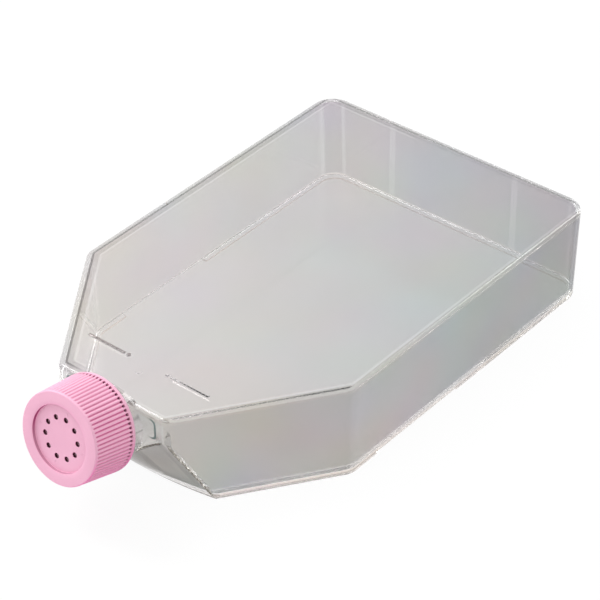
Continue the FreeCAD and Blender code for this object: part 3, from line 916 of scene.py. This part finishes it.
        lower_part = bore.work(self.side_view([(front - 60, -40), (front + 30, -40), (front + 30, low), (front - 60, low)]), "INTERSECT")
        outside.work(upper_part, "DIFFERENCE")
        outside.work(lower_part, "DIFFERENCE")
        return outside

    def seam(self) -> list[np.ndarray]:
        """Lines of the weld between the mouldings on the right side: front wall, then shoulder wall.

        On the front wall it is the ramp's upper edge. On the shoulder each ruling of the ramp, from its
        upper point U to its foot F, meets the wall where U + t (F - U) is on the wall's plane; t grows
        from 0 at the corner to 1 on the bench.
        """
        upper, foot = self.ramp_lines(600)
        half = len(upper) // 2
        upper, foot = upper[half:], foot[half:]
        run = np.array([self.width / 2 - self.front_width / 2, self.shoulder])
        run /= np.linalg.norm(run)
        out = np.array([run[1], -run[0]])
        reach = (upper[:, :2] - np.array([self.front_width / 2, self.front_y])) @ out
        gain = (foot[:, :2] - upper[:, :2]) @ out
        lean = self.drafts[2] / self.height
        t = -(reach + self.drafts[2] - lean * upper[:, 2]) / (gain - lean * (foot[:, 2] - upper[:, 2]))
        place = np.arange(len(t)) / half
        side = (t >= 0.05) & (t <= 0.97) & (place > 0.6)
        wall = (upper + (foot - upper) * t[:, None])[side][::-1]
        front = upper[(place > self.bead_start) & (upper[:, 0] < self.front_width / 2 - 1.3)]
        return [self.even(front, 100), self.even(wall, 150)]

    @staticmethod
    def even(line: np.ndarray, count: int) -> np.ndarray:
        """The same line with evenly spaced points."""
        length = np.concatenate([[0.0], np.cumsum(np.linalg.norm(np.diff(line, axis=0), axis=1))])
        return np.stack([np.interp(np.linspace(0, length[-1], count), length, line[:, i]) for i in range(3)], -1)

    def bead(self, line: np.ndarray, side: int) -> Form:
        """Weld bead: a thin round cord along the seam whose radius swells and shrinks as a sum of two sines."""
        line = line * np.array([side, 1, 1])
        length = np.concatenate([[0.0], np.cumsum(np.linalg.norm(np.diff(line, axis=0), axis=1))])
        swell = self.bead_r + self.bead_swell * (np.sin(length * 3.9) + 0.7 * np.sin(length * 7.3 + 1.0 + side))
        swell *= np.clip(np.minimum(length, length[-1] - length) / 1.0, 0.3, 1.0)
        ahead = np.gradient(line, axis=0)
        ahead /= np.linalg.norm(ahead, axis=1, keepdims=True)
        across = np.cross(ahead, [0.0, 0.0, 1.0])
        across /= np.linalg.norm(across, axis=1, keepdims=True)
        third = np.cross(ahead, across)
        angle = np.arange(10) * 2 * math.pi / 10 + 0.1
        circle = across[:, None] * np.cos(angle)[None, :, None] + third[:, None] * np.sin(angle)[None, :, None]
        return Form.loft("bead", line[:, None] + circle * swell[:, None, None], Weld().make())

    def foot(self, shell: Form) -> None:
        """Cuts the pocket under the growth plate, which leaves the foot rails, and the gap in the long rails."""
        rail = self.rail_width
        soft = 0.35
        angle = np.linspace(0, math.pi / 2, 6)
        steps = [(0.0, -5.0)] + [(soft * (1 - math.cos(v)), self.rail - soft + soft * math.sin(v)) for v in angle]
        rings = []
        for inward, level in steps:
            ring = self.plan(0.0, rail + inward, tuple(r - inward for r in self.pocket_radii))
            rings.append(ring + [0, 0, level])
        pocket = Form.loft("pocket", np.stack(rings))
        pocket.work(self.under_ramp((0.0, rail + 0.6, 0.0)), "DIFFERENCE")
        shell.work(pocket, "DIFFERENCE")
        start, end = self.gap
        shell.work(self.slab([(-90, start), (90, start), (90, end), (-90, end)], -5.0, self.rail), "DIFFERENCE")

    def roof_marks(self, shell: Form) -> None:
        """Joins the two stacking stops with their studs, and the gate mark, to the roof."""
        y = self.front_y + self.stop_setback
        top, deep = self.height, 0.6
        for side in (-1, 1):
            inner, outer = sorted((side * self.stop_inner, side * self.stop_outer))
            half, bevel = self.stop_width / 2, 0.3
            sizes = ((0.0, -deep), (0.0, self.stop_height - bevel), (bevel, self.stop_height))
            rings = [
                np.array([
                    [inner + c, y - half + c, top + z], [outer - c, y - half + c, top + z],
                    [outer - c, y + half - c, top + z], [inner + c, y + half - c, top + z],
                ])
                for c, z in sizes
            ]
            shell.work(Form.loft("stop", np.stack(rings)), "UNION")
            shell.work(self.button((side * self.stud_x, y), self.stud_r, self.stop_height, 0.35), "UNION")
        shell.work(self.button((0.0, self.front_y + self.gate_setback), self.gate_r, self.gate_height, 0.15), "UNION")

    def button(self, place: tuple[float, float], radius: float, height: float, soft: float) -> Form:
        """Low round button on the roof: its edge is a quarter circle of radius soft."""
        angle = np.arange(40) * 2 * math.pi / 40
        steps = [(radius, -0.6)]
        steps += [(radius - soft * (1 - math.cos(v)), height - soft + soft * math.sin(v)) for v in np.linspace(0, math.pi / 2, 7)]
        rings = [
            np.stack([place[0] + r * np.cos(angle), place[1] + r * np.sin(angle), np.full(40, self.height + z)], -1)
            for r, z in steps
        ]
        return Form.loft("button", np.stack(rings))

    def rear_ribs(self, shell: Form) -> None:
        """Joins the two upright ribs on the inside of the rear wall, each a low arc: depth times the cosine
        of a quarter turn times the share of its half width."""
        face = self.length / 2 - self.wall
        share = np.linspace(1, -1, 17)
        for side in (-1, 1):
            x = side * self.rib_x + share * self.rib_width / 2
            bulge = face - self.rib_depth * np.cos(share * math.pi / 2)
            flat = [(x[-1], face + 0.3), (x[0], face + 0.3)] + list(zip(x.tolist(), bulge.tolist()))
            shell.work(self.slab(flat, self.floor - 0.5, self.height - self.roof * 0.5), "UNION")

    def build(self) -> bpy.types.Object:
        """Makes the welded flask as one clear piece.

        Returns:
            The piece clear_flask, standing for both mouldings.
        """
        shell = self.hollow()
        self.foot(shell)
        for line in self.seam():
            for side in (1, -1):
                shell.work(self.bead(line, side), "UNION")
        self.roof_marks(shell)
        self.rear_ribs(shell)
        piece = shell.thing
        piece.name = piece.data.name = "clear_flask"
        shift = self.gauge.rear_y / MM - self.length / 2
        piece.data.transform(Matrix.Scale(MM, 4) @ Matrix.Translation((0, shift, 0)))
        clear = ClearMoulding(self.gauge).make()
        for place, finish in enumerate(piece.data.materials):
            if finish is None:
                piece.data.materials[place] = clear
        if not piece.data.materials:
            piece.data.materials.append(clear)
        log.info("finishes: %s", [finish.name for finish in piece.data.materials])
        polish(piece, 30)
        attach(piece, Body.FLASK.value)
        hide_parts("flask_body", "base_plate")
        log.info("clear_flask: %d faces", len(piece.data.polygons))
        return piece


# ---- the cap ----------------------------------------------------------------------------------


@dataclass
class VentedCap:
    """Ribbed screw cap with a recessed face and a ring of vent holes.

    Radii and distances along the neck's axis are in millimetres here, as its drawing has them.
    """

    gauge: Gauge
    ribs: int = 72
    per_rib: int = 12
    rear: float = 7.0
    face: float = 24.6
    rear_r: float = 17.15
    front_r: float = 16.2
    chamfer: float = 0.5
    knee: tuple[tuple[float, float], ...] = ((0.0, 0.5), (0.05, 0.25), (0.12, 0.1), (0.25, 0.02), (0.45, 0.0))
    collar: float = 1.3
    pocket: float = 0.8
    pocket_depth: float = 1.25
    groove_depth: float = 0.55
    groove_end: float = 0.1
    recess_r: float = 11.7
    recess_depth: float = 1.2
    top: float = 1.25
    seat_r: float = 11.6
    seat: float = 0.45
    bore_r: float = 15.1
    vents: int = 10
    vent_r: float = 0.92
    vent_ring: float = 7.1
    vent_start: float = 8.4
    cell_half: float = 1.9

    @property
    def columns(self) -> int:
        """Points round the cap."""
        return self.ribs * self.per_rib

    @property
    def angles(self) -> np.ndarray:
        """Directions of the columns, the first one on the edge between two vent cells."""
        first = math.radians(self.vent_start) - math.pi / self.vents
        return first + np.arange(self.columns) * 2 * math.pi / self.columns

    def rings(self, profile: list[tuple[float, float]]) -> np.ndarray:
        """Plain rings of revolution through (radius, distance) pairs."""
        pairs = np.array(profile)
        angle = self.angles
        radius, along = pairs[:, :1], np.repeat(pairs[:, 1:], self.columns, axis=1)
        return np.stack([radius * np.cos(angle), radius * np.sin(angle), along], axis=-1)

    def skirt(self) -> tuple[np.ndarray, np.ndarray]:
        """Ribbed side: crest radius less a groove that is deep in its pocket and fades to the front.

        Returns:
            The grid of points from front to rear, and the shade mark of each.
        """
        start = self.rear + self.collar
        stop = self.face - self.chamfer
        fade_from = stop - self.groove_end - 1.1
        fade_to = stop - self.groove_end
        along = np.concatenate([
            [self.rear, self.rear + 0.05, self.rear + 0.16, self.rear + 0.35, self.rear + 0.8],
            [start - 0.12, start - 0.03, start, start + 0.04],
            np.linspace(start + 0.2, start + self.pocket - 0.1, 4),
            [start + self.pocket, start + self.pocket + 0.08],
            np.linspace(start + self.pocket + 0.4, fade_from, 10),
            np.linspace(fade_from, fade_to, 9)[1:],
            np.linspace(fade_to, stop, 4)[1:],
        ])
        slope = (along - start) / (stop - start)
        crest = np.where(along < start, self.rear_r, self.rear_r + slope * (self.front_r - self.rear_r))
        rounding = np.clip((self.rear + 0.35 - along) / 0.35, 0, 1)
        crest = crest - 0.35 * (1 - np.sqrt(1 - rounding**2))
        phase = self.angles * self.ribs
        wave = 0.5 + 0.5 * np.cos(phase - phase[0])
        narrow = wave**2.5
        square = np.clip((wave - 0.35) / 0.3, 0, 1)
        inside = (along > start + 0.02) & (along < start + self.pocket + 0.04)
        running = along >= start + self.pocket + 0.04
        fade = np.clip((fade_to - along) / (fade_to - fade_from), 0, 1)
        fade = fade * fade * (3 - 2 * fade)
        deep = np.where(inside, self.pocket_depth, 0.0)[:, None] * square[None, :]
        deep = deep + (np.where(running, self.groove_depth, 0.0) * fade)[:, None] * narrow[None, :]
        radius = crest[:, None] - deep
        angle = self.angles[None, :]
        grid = np.stack([radius * np.cos(angle), radius * np.sin(angle), np.repeat(along[:, None], self.columns, 1)], -1)
        mark = np.clip(deep / self.groove_depth, 0, 1) * 0.5
        mark = np.where(inside[:, None], np.clip(deep / 0.5, 0, 1) * 0.84, mark)
        return grid, mark

    def vent_cells(self, level: float) -> np.ndarray:
        """Cells of the pierced band: lines from each hole's rim out to the edge of its own sector.

        Each cell is a sector of the band; a line runs from the round hole to the matching point of
        the sector's border, so neighbouring cells and the rings beside them share their points.

        Args:
            level: Distance along the axis.

        Returns:
            Points of shape (vents, lines, steps, 3), the lines going round each hole.
        """
        wide = self.columns // self.vents
        side = 14
        half = math.pi / self.vents
        across = np.linspace(-half, half, wide + 1)
        up = np.linspace(-self.cell_half, self.cell_half, side + 1)
        low = np.stack([across, np.full(wide + 1, -self.cell_half)], -1)[:-1]
        right = np.stack([np.full(side + 1, half), up], -1)[:-1]
        high = np.stack([across[::-1], np.full(wide + 1, self.cell_half)], -1)[:-1]
        left = np.stack([np.full(side + 1, -half), up[::-1]], -1)[:-1]
        border = np.concatenate([low, right, high, left])
        radius = self.vent_ring + border[:, 1]
        edge = np.stack([radius * np.cos(border[:, 0]), radius * np.sin(border[:, 0])], -1)
        away = edge - np.array([self.vent_ring, 0.0])
        share = np.arctan2(away[:, 1], away[:, 0])
        rim = np.array([self.vent_ring, 0.0]) + self.vent_r * np.stack([np.cos(share), np.sin(share)], -1)
        steps = np.array([0.0, 0.06, 0.25, 0.6, 1.0])
        flat = rim[:, None] + (edge - rim)[:, None] * steps[None, :, None]
        turn = math.radians(self.vent_start) + np.arange(self.vents) * 2 * math.pi / self.vents
        c, s = np.cos(turn)[:, None, None], np.sin(turn)[:, None, None]
        x = flat[None, ..., 0] * c - flat[None, ..., 1] * s
        y = flat[None, ..., 0] * s + flat[None, ..., 1] * c
        return np.stack([x, y, np.full_like(x, level)], -1)

    def pierced(self, patch: Patchwork) -> None:
        """Adds the vented top: both faces of the pierced band and the walls of its holes."""
        outer = self.face - self.recess_depth
        inner = outer - self.top
        upper, lower = self.vent_cells(outer), self.vent_cells(inner)
        mouth = 0.12
        for hole in range(self.vents):
            top, under = upper[hole].copy(), lower[hole]
            top[:, 0, 2] -= mouth
            top[:, 0] = top[:, 0]
            patch.add_grid(np.concatenate([top, top[:1]]), mark=np.array([0.75, 0.0, 0, 0, 0]))
            patch.add_grid(np.concatenate([under, under[:1]])[::-1])
            levels = np.linspace(0, 1, 4)[:, None, None]
            wall = under[None, :, 0] * levels + top[None, :, 0] * (1 - levels)
            patch.add_grid(wall[::-1], wrap=True, mark=np.array([1.0, 1.0, 0.95, 0.75])[:, None])

    def build(self) -> bpy.types.Object:
        """Joins skirt, face, recess, pierced top and the inside into one closed piece.

        Returns:
            The piece vented_cap, standing for the node screw_cap.
        """
        patch = Patchwork()
        grid, mark = self.skirt()
        patch.add_grid(grid[::-1, ::-1], wrap=True, mark=mark[::-1, ::-1])
        stop = self.face - self.chamfer
        soft = [(self.front_r - inward, self.face - short) for inward, short in self.knee]
        outer = self.face - self.recess_depth
        lip = 0.18
        rim = [
            (self.recess_r + 1.6, self.face), (self.recess_r + lip, self.face), (self.recess_r + 0.05, self.face - 0.05),
            (self.recess_r, self.face - lip), (self.recess_r, outer + 0.12), (self.recess_r - 0.1, outer),
            (self.vent_ring + self.cell_half, outer),
        ]
        shade = np.array([0.0] * 5 + [0, 0, 0.1, 0.66, 0.66, 0.05, 0.0])[:, None]
        patch.add_grid(self.rings(soft + rim), wrap=True, mark=shade)
        middle = [(self.vent_ring - self.cell_half, outer), (3.4, outer), (1.6, outer), (0.5, outer), (0.0, outer)]
        patch.add_grid(self.rings(middle), wrap=True)
        self.pierced(patch)
        inner = outer - self.top
        seat = inner - self.seat
        under = [(0.0, inner), (0.5, inner), (1.6, inner), (3.4, inner), (self.vent_ring - self.cell_half, inner)]
        patch.add_grid(self.rings(under), wrap=True)
        inside = [
            (self.vent_ring + self.cell_half, inner), (self.seat_r, inner), (self.seat_r, seat), (self.bore_r - 0.4, seat),
            (self.bore_r, seat - 0.4), (self.bore_r, self.rear + 1.2), (self.bore_r + 0.4, self.rear + 0.25),
            (self.bore_r + 0.7, self.rear), (self.rear_r - 0.35, self.rear),
        ]
        patch.add_grid(self.rings(inside), wrap=True)
        patch.points = [p * MM for p in patch.points]
        piece = patch.build("vented_cap", self.gauge.neck)
        sharpen(piece, 42)
        # The last three colours are painted shade: skin facing down, grooves, pockets and holes.
        piece.data.materials.append(
            SatinPlastic("pink_satin", colour=(0.83, 0.43, 0.58), shaded_side_tone=(1.0, 0.23, 0.55), deep=(0.50, 0.07, 0.22), dark=(0.05, 0.003, 0.012)).make()
        )
        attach(piece, Body.CAP.value)
        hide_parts("screw_cap")
        log.info("vented_cap: %d faces", len(piece.data.polygons))
        return piece

    def dress_membrane(self) -> None:
        """Gives the vent membrane its porous film."""
        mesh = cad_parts["vent_membrane"].data
        mesh.materials.clear()
        mesh.materials.append(FilterFilm().make())
        log.info("vent_membrane dressed")


# ---- bench, light and camera ------------------------------------------------------------------


@dataclass
class Studio:
    """Pale bench, soft lamps and the viewing camera."""

    azimuth: float = 40.54
    elevation: float = 36.74
    roll: float = -1.04
    distance: float = 0.90296
    aim: tuple[float, float] = (0.00156, 0.01617)
    origin: tuple[float, float, float] = (0.0, 0.01387, 0.0)
    lens: float = 153.54
    bench_shadow: float = 0.08
    bench_gloss: float = 0.4

    def bench(self) -> None:
        """Wide pale floor under the flask: white to the eye and through clear plastic, with its shadow kept."""
        reach = 4.0
        mesh = bpy.data.meshes.new("bench")
        mesh.from_pydata([(-reach, -reach, 0), (reach, -reach, 0), (reach, reach, 0), (-reach, reach, 0)], [], [(0, 1, 2, 3)])
        floor = bpy.data.objects.new("bench", mesh)
        floor.location.z = -0.0002
        bpy.context.scene.collection.objects.link(floor)
        floor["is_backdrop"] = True
        material, tree = shader_tree("bench_white")
        path = tree.nodes.new("ShaderNodeLightPath")
        mirrored = math_node(tree, "MULTIPLY", path.outputs["Is Glossy Ray"], self.bench_gloss)
        seen = math_node(tree, "MAXIMUM", path.outputs["Is Camera Ray"], mirrored)
        seen = math_node(tree, "MAXIMUM", seen, path.outputs["Is Transmission Ray"])
        glow = tree.nodes.new("ShaderNodeEmission")
        glow.inputs["Strength"].default_value = 1.0
        matt = tree.nodes.new("ShaderNodeBsdfDiffuse")
        link(tree, mix_colour(tree, path.outputs["Is Camera Ray"], (0.65, 0.65, 0.65), (0.95, 0.95, 0.95)), matt.inputs["Color"])
        mix = tree.nodes.new("ShaderNodeMixShader")
        link(tree, math_node(tree, "MULTIPLY", seen, 1.0 - self.bench_shadow), mix.inputs[0])
        link(tree, matt.outputs[0], mix.inputs[1])
        link(tree, glow.outputs[0], mix.inputs[2])
        out = tree.nodes.new("ShaderNodeOutputMaterial")
        link(tree, mix.outputs[0], out.inputs["Surface"])
        mesh.materials.append(material)

    def sky(self) -> None:
        """White surroundings to the eye, plain soft light for the surfaces, softly graded in reflections."""
        world = bpy.data.worlds.new("surroundings")
        bpy.context.scene.world = world
        world.use_nodes = True
        tree = world.node_tree
        tree.nodes.clear()
        path = tree.nodes.new("ShaderNodeLightPath")
        way = tree.nodes.new("ShaderNodeTexCoord")
        place = tree.nodes.new("ShaderNodeSeparateXYZ")
        link(tree, way.outputs["Generated"], place.inputs[0])
        side = ramp_node(tree, place.outputs["X"], -0.8, 0.6, 1.0, 0.35)
        glossy = mix_colour(tree, side, (0.0, 0.0, 0.0), (1.0, 1.0, 1.0))
        soft = mix_colour(tree, ramp_node(tree, place.outputs["X"], -0.7, 0.9, 0.0, 1.0), (0.93, 0.93, 0.93), (0.74, 0.74, 0.74))
        plain = mix_colour(tree, path.outputs["Is Glossy Ray"], soft, glossy)
        seen = math_node(tree, "MAXIMUM", path.outputs["Is Camera Ray"], path.outputs["Is Transmission Ray"])
        colour = mix_colour(tree, seen, plain, (1.0, 1.0, 1.0))
        back = tree.nodes.new("ShaderNodeBackground")
        link(tree, colour, back.inputs["Color"])
        out = tree.nodes.new("ShaderNodeOutputWorld")
        link(tree, back.outputs[0], out.inputs["Surface"])

    def lamp(self, name: str, place: tuple[float, float, float], size: float, power: float) -> None:
        """Adds one square soft lamp that faces the flask.

        Args:
            name: The lamp's name.
            place: Where it hangs, in metres.
            size: Side of the square.
            power: Watts.
        """
        data = bpy.data.lights.new(name, "AREA")
        data.size = size
        data.energy = power
        lamp = bpy.data.objects.new(name, data)
        lamp.location = place
        lamp.rotation_mode = "QUATERNION"
        lamp.rotation_quaternion = (-Vector(place)).to_track_quat("-Z", "Y")
        bpy.context.scene.collection.objects.link(lamp)

    def camera(self) -> None:
        """Sets the camera from its bearing, height angle, roll, distance and aim."""
        bearing, height, roll = (math.radians(v) for v in (self.azimuth, self.elevation, self.roll))
        back = Vector((math.sin(bearing) * math.cos(height), -math.cos(bearing) * math.cos(height), math.sin(height)))
        level = Vector((math.cos(bearing), math.sin(bearing), 0.0))
        rise = back.cross(level)
        right = level * math.cos(roll) + rise * math.sin(roll)
        up = rise * math.cos(roll) - level * math.sin(roll)
        pose = Matrix((right, up, back)).transposed().to_4x4()
        pose.translation = Vector(self.origin) + back * self.distance + right * self.aim[0] + up * self.aim[1]
        data = bpy.data.cameras.new("view")
        data.lens = self.lens
        data.sensor_width = 36.0
        data.clip_start, data.clip_end = 0.05, 30.0
        camera = bpy.data.objects.new("view", data)
        camera.matrix_world = pose
        bpy.context.scene.collection.objects.link(camera)
        bpy.context.scene.camera = camera

    def build(self) -> None:
        """Sets up bench, surroundings, lamps, camera and colour handling."""
        scene = bpy.context.scene
        scene.view_settings.view_transform = "Standard"
        scene.cycles.caustics_refractive = False
        scene.cycles.caustics_reflective = False
        scene.cycles.max_bounces = 128
        scene.cycles.glossy_bounces = 96
        scene.cycles.transmission_bounces = 96
        scene.cycles.transparent_max_bounces = 24
        self.bench()
        self.sky()
        self.lamp("key", (-0.75, -0.15, 0.95), 0.5, 7.8)
        self.lamp("fill", (0.30, -1.0, 0.75), 0.9, 1.3)
        self.lamp("rear", (0.35, 1.1, 0.9), 0.5, 4.0)
        self.camera()
        log.info("studio ready")


# ---- putting it together ----------------------------------------------------------------------


def corners() -> list[list[float]]:
    """The shown object's lowest and highest corner as plain numbers."""
    return [list(corner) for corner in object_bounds()]


def main() -> None:
    """Builds the studio, dresses the mouldings and adds the cap and the small forms."""
    logging.basicConfig(level=logging.INFO, format="%(name)s: %(message)s")
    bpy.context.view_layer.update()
    gauge = Gauge()
    Studio().build()
    shell = FlaskShell(gauge)
    shell.build()
    cap = VentedCap(gauge)
    cap.build()
    cap.dress_membrane()


if __name__ == "__main__":
    main()
